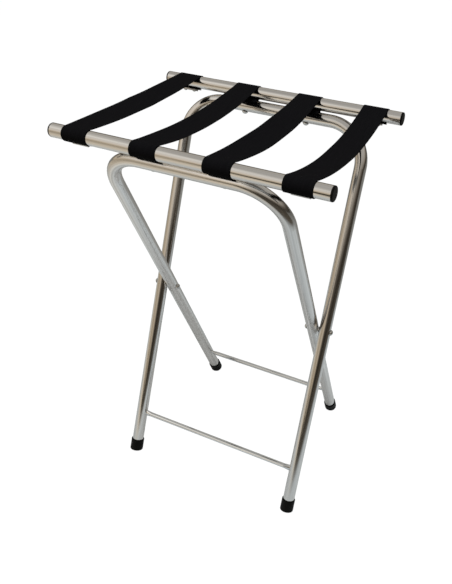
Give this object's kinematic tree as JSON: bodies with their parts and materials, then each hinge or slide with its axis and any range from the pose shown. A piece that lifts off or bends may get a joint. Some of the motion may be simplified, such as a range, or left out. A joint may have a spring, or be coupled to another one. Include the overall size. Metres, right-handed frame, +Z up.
{
  "type": "folding luggage rack",
  "caption": "Tall folding luggage rack: two crossed bent-tube leg frames on one pivot line, straight top rails with end caps, and black webbing straps slung between the rails.",
  "frame": {"origin": "on the floor, at the middle of the open rack", "axes": "+X along the top rails, +Y from the front rail to the rear rail, +Z up from the floor"},
  "size_m": [0.52, 0.383, 0.804],
  "materials": {
    "chrome_tube": "bright chrome plate with faint drawing lines",
    "zinc_fastener": "bright zinc plate",
    "black_plastic": "moulded black plastic, slightly soft sheen",
    "black_webbing": "flat woven black webbing"
  },
  "bodies": {
    "outer_frame": {"front_left_foot": "black_plastic", "front_right_foot": "black_plastic", "front_stretcher": "chrome_tube", "outer_leg_frame": "chrome_tube", "pivot_bolt_left": "zinc_fastener", "pivot_bolt_right": "zinc_fastener", "pivot_cap_nut_left": "zinc_fastener", "pivot_cap_nut_right": "zinc_fastener", "pivot_washer_left": "zinc_fastener", "pivot_washer_right": "zinc_fastener", "rear_clamp_screws": "zinc_fastener", "rear_left_rail_cap": "black_plastic", "rear_left_strap_clamp": "zinc_fastener", "rear_rail": "chrome_tube", "rear_rail_inserts": "zinc_fastener", "rear_rail_screws": "zinc_fastener", "rear_right_rail_cap": "black_plastic", "rear_right_strap_clamp": "zinc_fastener", "strap_left_rear_loop": "black_webbing", "strap_mid_left_rear_loop": "black_webbing", "strap_mid_right_rear_loop": "black_webbing", "strap_right_rear_loop": "black_webbing"},
    "inner_frame": {"front_clamp_screws": "zinc_fastener", "front_left_rail_cap": "black_plastic", "front_left_strap_clamp": "zinc_fastener", "front_rail": "chrome_tube", "front_rail_inserts": "zinc_fastener", "front_rail_screws": "zinc_fastener", "front_right_rail_cap": "black_plastic", "front_right_strap_clamp": "zinc_fastener", "inner_leg_frame": "chrome_tube", "rear_left_foot": "black_plastic", "rear_right_foot": "black_plastic", "rear_stretcher": "chrome_tube", "strap_left_front_loop": "black_webbing", "strap_mid_left_front_loop": "black_webbing", "strap_mid_right_front_loop": "black_webbing", "strap_right_front_loop": "black_webbing"},
    "strap_rear_halves": {"strap_left_rear_span": "black_webbing", "strap_mid_left_rear_span": "black_webbing", "strap_mid_right_rear_span": "black_webbing", "strap_right_rear_span": "black_webbing"},
    "strap_front_halves": {"strap_left_front_span": "black_webbing", "strap_mid_left_front_span": "black_webbing", "strap_mid_right_front_span": "black_webbing", "strap_right_front_span": "black_webbing"}
  },
  "joints": [
    {"name": "fold", "type": "hinge", "parent": "outer_frame", "child": "inner_frame", "pos_m": [0, 0, 0.38414], "axis": [-1, 0, 0], "range_deg": [0, 42]},
    {"name": "rear_straps_droop", "type": "hinge", "parent": "outer_frame", "child": "strap_rear_halves", "pos_m": [0, 0.1775, 0.79], "axis": [1, 0, 0], "range_deg": [0, 62], "deforming": ["strap_left_rear_span", "strap_mid_left_rear_span", "strap_mid_right_rear_span", "strap_right_rear_span"]},
    {"name": "front_straps_droop", "type": "hinge", "parent": "inner_frame", "child": "strap_front_halves", "pos_m": [0, -0.1775, 0.79], "axis": [-1, 0, 0], "range_deg": [0, 62], "deforming": ["strap_left_front_span", "strap_mid_left_front_span", "strap_mid_right_front_span", "strap_right_front_span"]}
  ],
  "couplings": [
    {"joint": "rear_straps_droop", "follows": "fold", "ratio": 1.4762},
    {"joint": "front_straps_droop", "follows": "fold", "ratio": 1.4762}
  ]
}
